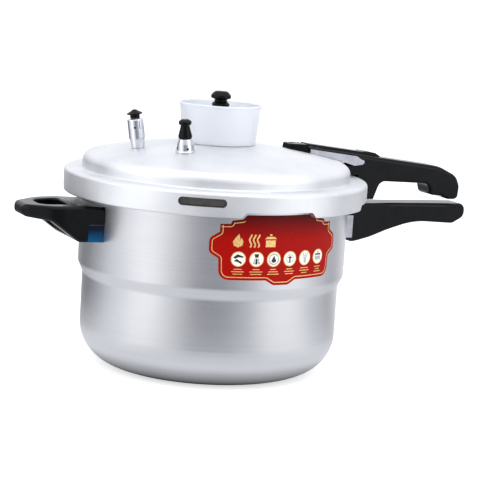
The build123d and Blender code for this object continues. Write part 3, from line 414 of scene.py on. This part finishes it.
def roundedOutline(corners, steps=6):
    points = []
    for i, (x, y, radius) in enumerate(corners):
        before, after = corners[i - 1], corners[(i + 1) % len(corners)]
        corner = Vector((x, y))
        toBefore = (Vector(before[:2]) - corner).normalized()
        toAfter = (Vector(after[:2]) - corner).normalized()
        if radius == 0:
            points.append(tuple(corner))
            continue
        half = toBefore.angle(toAfter) / 2
        run = radius / math.tan(half)
        centre = corner + (toBefore + toAfter).normalized() * (radius / math.sin(half))
        start = corner + toBefore * run - centre
        end = corner + toAfter * run - centre
        turn = start.angle_signed(end)
        for k in range(steps + 1):
            arm = start.copy()
            arm.rotate(Matrix.Rotation(-turn * k / steps, 2))
            points.append(tuple(centre + arm))
    return points


def inset(points, distance):
    moved = []
    count = len(points)
    area = sum(points[i - 1][0] * points[i][1] - points[i][0] * points[i - 1][1] for i in range(count))
    side = 1 if area > 0 else -1
    for i in range(count):
        before, here, after = Vector(points[i - 1]), Vector(points[i]), Vector(points[(i + 1) % count])
        first = (here - before).normalized()
        second = (after - here).normalized()
        along = (first + second).normalized()
        across = Vector((-along.y, along.x)) * side
        stretch = 1 / max(0.5, abs(along.dot(second)))
        moved.append(tuple(here + across * distance * stretch))
    return moved


def bandBetween(outer, inner):
    count = len(outer)
    return [[outer[i - 1], outer[i], inner[i], inner[i - 1]] for i in range(count)]


def disc(x, z, radius, sides=32):
    turns = [2 * math.pi * k / sides for k in range(sides)]
    return [(x + radius * math.cos(t), z + radius * math.sin(t)) for t in turns]


def stroke(points, width):
    half = width / 2
    left, right = [], []
    for i, point in enumerate(points):
        here = Vector(point)
        before = Vector(points[max(i - 1, 0)])
        after = Vector(points[min(i + 1, len(points) - 1)])
        along = (after - before).normalized()
        across = Vector((-along.y, along.x)) * half
        left.append(tuple(here + across))
        right.append(tuple(here - across))
    return [[left[i], left[i + 1], right[i + 1], right[i]] for i in range(len(points) - 1)]


def moveShapes(shapes, x, z, size=1.0):
    return [[(x + across * size, z + along * size) for across, along in shape] for shape in shapes]


def printOnLabel(name, shapes, inkName, level=0):
    look = labelPrint
    bm = bmesh.new()
    for shape in shapes:
        bm.faces.new([bm.verts.new((x, 0, z)) for x, z in shape])
    bmesh.ops.remove_doubles(bm, verts=bm.verts[:], dist=0.01)
    bmesh.ops.triangulate(bm, faces=bm.faces[:], ngon_method="EAR_CLIP")
    low = min(v.co.x for v in bm.verts)
    high = max(v.co.x for v in bm.verts)
    cut = math.floor(low / look["step"]) * look["step"]
    while cut < high:
        bmesh.ops.bisect_plane(bm, geom=bm.verts[:] + bm.edges[:] + bm.faces[:], plane_co=(cut, 0, 0),
                               plane_no=(1, 0, 0), dist=0.0001)
        cut += look["step"]
    front = bmesh.ops.extrude_face_region(bm, geom=bm.faces[:])
    thick = look["sink"] + look["layer"] * (level + 1)
    for item in front["geom"]:
        if isinstance(item, bmesh.types.BMVert):
            item.co.y = thick
    for vert in bm.verts:
        reach = look["wallRadius"] - look["sink"] + vert.co.y
        turn = math.radians(look["azimuth"]) + vert.co.x / look["wallRadius"]
        vert.co = Vector((reach * math.cos(turn), reach * math.sin(turn), vert.co.z)) * mm
    bmesh.ops.recalc_face_normals(bm, faces=bm.faces[:])
    mesh = bpy.data.meshes.new(name)
    bm.to_mesh(mesh)
    bm.free()
    piece = bpy.data.objects.new(name, mesh)
    bpy.context.scene.collection.objects.link(piece)
    mesh.materials.append(inkMaterials[inkName])
    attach(piece, "pot")
    return piece


def labelCorners():
    look = labelPrint
    top, half = look["top"], look["halfWidth"]
    low = top - look["height"]
    middle = low + look["height"] * 0.57
    side = half - look["lobe"]
    right = [
        (8, low, 5), (16, low + 4.7, 5), (side - 1, low + 4.7, 9), (side, middle - 13, 1.5),
        (half, middle - 7.5, 6), (half, middle + 6, 6), (side, middle + 12, 1.5), (side, top - 9, 0.8),
        (side - 9, top - 8.5, 0.8), (side - 10, top - 5.5, 1.5), (41, top - 4, 2), (37, top, 0),
    ]
    corners = [(-x, z, r) for x, z, r in reversed(right)] + right
    wall = look["wallRadius"]
    return [(wall * math.asin(x / wall), z, r) for x, z, r in corners]


edge = roundedOutline(labelCorners())
borderOuter = inset(edge, labelPrint["borderInset"])
borderInner = inset(edge, labelPrint["borderInset"] + labelPrint["borderWidth"])
visibleTop = labelPrint["top"] - labelPrint["topMargin"]
printOnLabel("labelBorder", [piece for piece in bandBetween(borderOuter, borderInner)
                             if max(z for x, z in piece) < visibleTop], "goldInk")

badges = {
    "places": (-44.0, -26.4, -8.8, 8.8, 27.0, 45.2),    # mm along the wall from the label's centre
    "height": 130.5,        # mm above the base
    "radius": 7.2,
    "ringWidth": 0.9,
    "ruleWidths": ((8, 12, 9), (7, 13, 11), (6, 10, 12), (7, 11, 9), (10, 12, 7), (8, 6, 9)),
    "ruleDrop": 2.4,
    "rulePitch": 2.3,
    "ruleThickness": 0.7,
}
rings, discs, rules = [], [], []
for x, widths in zip(badges["places"], badges["ruleWidths"]):
    rim = disc(x, badges["height"], badges["radius"])
    inner = disc(x, badges["height"], badges["radius"] - badges["ringWidth"])
    rings += bandBetween(rim, inner)
    discs.append(inner)
    for row, width in enumerate(widths):
        z = badges["height"] - badges["radius"] - badges["ruleDrop"] - row * badges["rulePitch"]
        rules += stroke([(x - width / 2, z), (x + width / 2, z)], badges["ruleThickness"])
printOnLabel("badgeRings", rings, "goldInk")
printOnLabel("badgeDiscs", discs, "creamInk")
printOnLabel("badgeRules", rules, "goldInk")

# one plain mark in each badge
darkMarks, greyMarks = [], []
z = badges["height"]
spots = badges["places"]
darkMarks += moveShapes([[(-5, 1.5), (-1, 4.6), (4.8, 2.6), (4.6, 1.2), (0, 1.8), (-3.2, 0.2)],
                         [(-4.4, -2.0), (-1.6, 0.2), (3.6, -3.0), (3.0, -4.6), (-1.0, -2.6)]], spots[0], z)
darkMarks += moveShapes([[(-2.4, 5), (2.4, 5), (1.6, 1.6), (-1.6, 1.6)],
                         [(-1.1, -4.8), (1.1, -4.8), (0.9, 0.6), (-0.9, 0.6)]], spots[1], z)
greyMarks += moveShapes([[(-3.6, -4.6), (-1.6, -4.6), (-1.4, 1.0), (-2.2, 1.0)],
                         [(1.6, -4.6), (3.6, -4.6), (2.2, 1.0), (1.4, 1.0)]], spots[1], z)
greyMarks += bandBetween(disc(spots[2], z, 5.6), disc(spots[2], z, 4.2))
darkMarks += moveShapes([[(0, 3.6), (1.1, 1.4), (2.8, -1.8), (0.5, -3.4), (-0.5, -3.4), (-2.8, -1.8),
                          (-1.1, 1.4)]], spots[2], z)
greyMarks += bandBetween(disc(spots[3], z, 4.2), disc(spots[3], z, 3.2))
darkMarks += moveShapes([[(-2.4, 1.2), (0, 2.6), (2.4, 1.2), (0.8, 0.2), (0.8, -3.8), (-0.8, -3.8),
                          (-0.8, 0.2)]], spots[3], z)
for lean in (-1.7, 0.2, 2.1):
    greyMarks += stroke([(spots[4] + lean * 0.3, z - 5), (spots[4] + lean * 0.6, z - 1.5),
                         (spots[4] + lean, z + 2), (spots[4] + lean * 1.6, z + 4.8)], 1.1)
greyMarks += moveShapes([[(-4.2, -3.4), (4.2, -3.4), (4.4, 0.6), (-4.4, 0.6)]], spots[5], z)
darkMarks += moveShapes([[(-4.6, 1.4), (4.6, 1.4), (3.6, 3.0), (-3.6, 3.0)],
                         [(-0.9, 3.5), (0.9, 3.5), (0.9, 4.8), (-0.9, 4.8)]], spots[5], z)
printOnLabel("badgeDarkMarks", darkMarks, "blackInk", 1)
printOnLabel("badgeGreyMarks", greyMarks, "greyInk", 1)

ornament = {"places": (-45.2, -29.6, -13.2), "height": 147.8, "size": 6.4}     # mm, where a title would be
flame = [(0, -1), (0.62, -0.72), (0.8, -0.15), (0.45, 0.45), (0.38, 0.02), (0.1, 1.0), (-0.45, 0.35),
         (-0.8, -0.2), (-0.6, -0.72)]
steam = []
for lean in (-0.6, 0.0, 0.6):
    wave = [(lean + 0.16 * math.sin(k * 0.9), -0.95 + k * 0.211) for k in range(10)]
    steam += stroke(wave, 0.24)
potMark = [[(-0.78, -0.9), (0.78, -0.9), (0.78, 0.1), (-0.78, 0.1)],
           [(-0.95, 0.28), (0.95, 0.28), (0.6, 0.62), (-0.6, 0.62)],
           [(-0.16, 0.74), (0.16, 0.74), (0.16, 1.0), (-0.16, 1.0)]]
marks = moveShapes([flame], ornament["places"][0], ornament["height"], ornament["size"])
marks += moveShapes(steam, ornament["places"][1], ornament["height"], ornament["size"])
marks += moveShapes(potMark, ornament["places"][2], ornament["height"], ornament["size"])
printOnLabel("labelOrnaments", marks, "goldInk")
print("label print made")


# studio: pale floor, a ring of soft light with darker gaps, two tall soft boxes and one overhead
studio = {
    "floorColour": "#C8C8C8",
    "floorGlow": 0.62,      # lifts the floor to plain white without hiding the contact shadow
    "floorSize": 60.0,      # m
    "floorGap": 0.0002,     # m under the base
    "bands": [              # degrees round the object, light seen there in a reflection
        (-180, "#F2F3F5"), (-160, "#FAFAFC"), (-140, "#C0C1C5"), (-124, "#808186"), (-104, "#85868B"),
        (-86, "#A6A7AC"), (-66, "#EAEBED"), (-44, "#ECEDEF"), (-20, "#BBBCC0"), (4, "#94959A"),
        (26, "#E2E2E5"),
        (60, "#CDCED1"), (96, "#A2A3A7"), (120, "#606165"), (142, "#8F9095"), (164, "#D4D5D9")],
    "bandStrength": 1.55,
    "skyColour": "#E6E7EA",
    "skyBlend": (0.06, 0.4),        # upward share of a direction, where the bands give way to the sky
    "floorShade": (0.098, 0.134),   # m from the axis, where the floor's reflection is darkest and full
    "sweepColour": "#CFD0D4",       # pale paper close to the pot, before the darker gaps begin
    "sweepReach": (0.14, 0.42),     # m from the axis, where the pale paper gives way to them
    "ambient": 1.5,
    "aim": (0, 0, 0.12),            # m, where the soft boxes point
    "boxes": [
        # azimuth and elevation in degrees, distance, width and height in m, power in W
        (-178, 22, 1.7, 0.9, 1.5, 5),
        (-58, 24, 1.7, 0.8, 1.5, 5),
        (-100, 78, 1.6, 1.6, 1.6, 7),
    ],
}

floorMesh = bpy.data.meshes.new("floor")
half = studio["floorSize"] / 2
floorMesh.from_pydata([(-half, -half, 0), (half, -half, 0), (half, half, 0), (-half, half, 0)], [],
                      [(0, 1, 2, 3)])
floor = bpy.data.objects.new("floor", floorMesh)
floor.location.z = -studio["floorGap"]
bpy.context.scene.collection.objects.link(floor)


def addBands(tree, direction):
    axes = addNode(tree, "SeparateXYZ", links={"Vector": direction})
    turn = addNode(tree, "Math", links={0: axes.outputs["Y"], 1: axes.outputs["X"]}, operation="ARCTAN2")
    share = addNode(tree, "MapRange", {"From Min": -math.pi, "From Max": math.pi},
                    {"Value": turn.outputs["Value"]})
    bands = addNode(tree, "ValToRGB", links={"Fac": share.outputs["Result"]})
    setRamp(bands, [((degrees + 180) / 360, colour) for degrees, colour in studio["bands"]])
    bands.color_ramp.interpolation = "EASE"
    return bands.outputs["Color"], axes


floorPaint, floorTree, floorShader, floorPlace = newMaterial("paleFloor", studio["floorColour"], {
    "Roughness": 0.9, "Specular IOR Level": 0.0, "Emission Color": linear("#FFFFFF"),
    "Emission Strength": studio["floorGlow"]})
floorBands = addBands(floorTree, floorPlace)[0]
reach = addNode(floorTree, "VectorMath", links={0: floorPlace}, operation="LENGTH")
nearby = addNode(floorTree, "MapRange", {
    "From Min": studio["sweepReach"][0], "From Max": studio["sweepReach"][1], "To Min": 1.0, "To Max": 0.0},
    {"Value": reach.outputs["Value"]})
seen = addNode(floorTree, "MixRGB", {"Color2": linear(studio["sweepColour"])}, {
    "Color1": floorBands, "Fac": nearby.outputs["Result"]})
shade = addNode(floorTree, "MapRange", {
    "From Min": studio["floorShade"][0], "From Max": studio["floorShade"][1],
    "To Max": studio["bandStrength"]}, {"Value": reach.outputs["Value"]})
mirrored = addNode(floorTree, "Emission", links={"Color": seen.outputs["Color"],
                                                 "Strength": shade.outputs["Result"]})
rays = addNode(floorTree, "LightPath")
either = addNode(floorTree, "MixShader", links={
    "Fac": rays.outputs["Is Glossy Ray"], 1: floorShader.outputs["BSDF"], 2: mirrored.outputs["Emission"]})
floorEnd = [n for n in floorTree.nodes if n.type == "OUTPUT_MATERIAL"][0]
floorTree.links.new(either.outputs["Shader"], floorEnd.inputs["Surface"])
floorMesh.materials.append(floorPaint)

world = bpy.data.worlds.new("studio")
world.use_nodes = True
bpy.context.scene.world = world
sky = world.node_tree
sky.nodes.clear()
skyBands, skyAxes = addBands(sky, addNode(sky, "TexCoord").outputs["Generated"])
upward = addNode(sky, "MapRange", {"From Min": studio["skyBlend"][0], "From Max": studio["skyBlend"][1]},
                 {"Value": skyAxes.outputs["Z"]})
dome = addNode(sky, "MixRGB", {"Color2": linear(studio["skyColour"])}, {"Color1": skyBands,
               "Fac": upward.outputs["Result"]})
glow = addNode(sky, "Background", {"Strength": studio["ambient"]}, {"Color": dome.outputs["Color"]})
plain = addNode(sky, "Background", {"Color": linear("#FFFFFF")})
backdrop = addNode(sky, "MixShader", links={"Fac": addNode(sky, "LightPath").outputs["Is Camera Ray"],
                                            1: glow.outputs["Background"], 2: plain.outputs["Background"]})
addNode(sky, "OutputWorld", links={"Surface": backdrop.outputs["Shader"]})



def outward(azimuth, elevation):
    turn, rise = math.radians(azimuth), math.radians(elevation)
    return Vector((math.cos(rise) * math.cos(turn), math.cos(rise) * math.sin(turn), math.sin(rise)))


for azimuth, elevation, distance, width, height, power in studio["boxes"]:
    away = outward(azimuth, elevation)
    lamp = bpy.data.lights.new("softBox", "AREA")
    lamp.shape = "RECTANGLE"
    lamp.size = width
    lamp.size_y = height
    lamp.energy = power
    box = bpy.data.objects.new("softBox", lamp)
    box.location = Vector(studio["aim"]) + away * distance
    box.rotation_mode = "QUATERNION"
    box.rotation_quaternion = away.to_track_quat("Z", "Y")
    bpy.context.scene.collection.objects.link(box)
print("studio lit")


# camera: a long lens a little above the rim, turned towards the label's left
cameraView = {
    "lens": 122.4,          # mm on a 36 mm sensor
    "target": (0, 0, 0.08),
    "distance": 1.71123,    # m
    "azimuth": -114.5,
    "elevation": 10.74,
    "pan": 1.29,
    "pitch": 1.25,
    "roll": 3.5,
}


def turnPair(first, second, degrees):
    along, across = math.cos(math.radians(degrees)), math.sin(math.radians(degrees))
    return first * along + second * across, second * along - first * across


back = outward(cameraView["azimuth"], cameraView["elevation"])
ahead = -back
right = outward(cameraView["azimuth"] + 90, 0)
up = right.cross(ahead)
ahead, right = turnPair(ahead, right, cameraView["pan"])
ahead, up = turnPair(ahead, up, cameraView["pitch"])
right, up = turnPair(right, up, cameraView["roll"])
lens = bpy.data.cameras.new("camera")
lens.lens = cameraView["lens"]
lens.sensor_width = 36
lens.clip_end = 100
camera = bpy.data.objects.new("camera", lens)
spot = Vector(cameraView["target"]) + back * cameraView["distance"]
camera.matrix_world = Matrix.Translation(spot) @ Matrix((right, up, -ahead)).transposed().to_4x4()
bpy.context.scene.collection.objects.link(camera)
bpy.context.scene.camera = camera
bpy.context.scene.view_settings.view_transform = "Standard"
print("camera set")

bpy.context.view_layer.update()
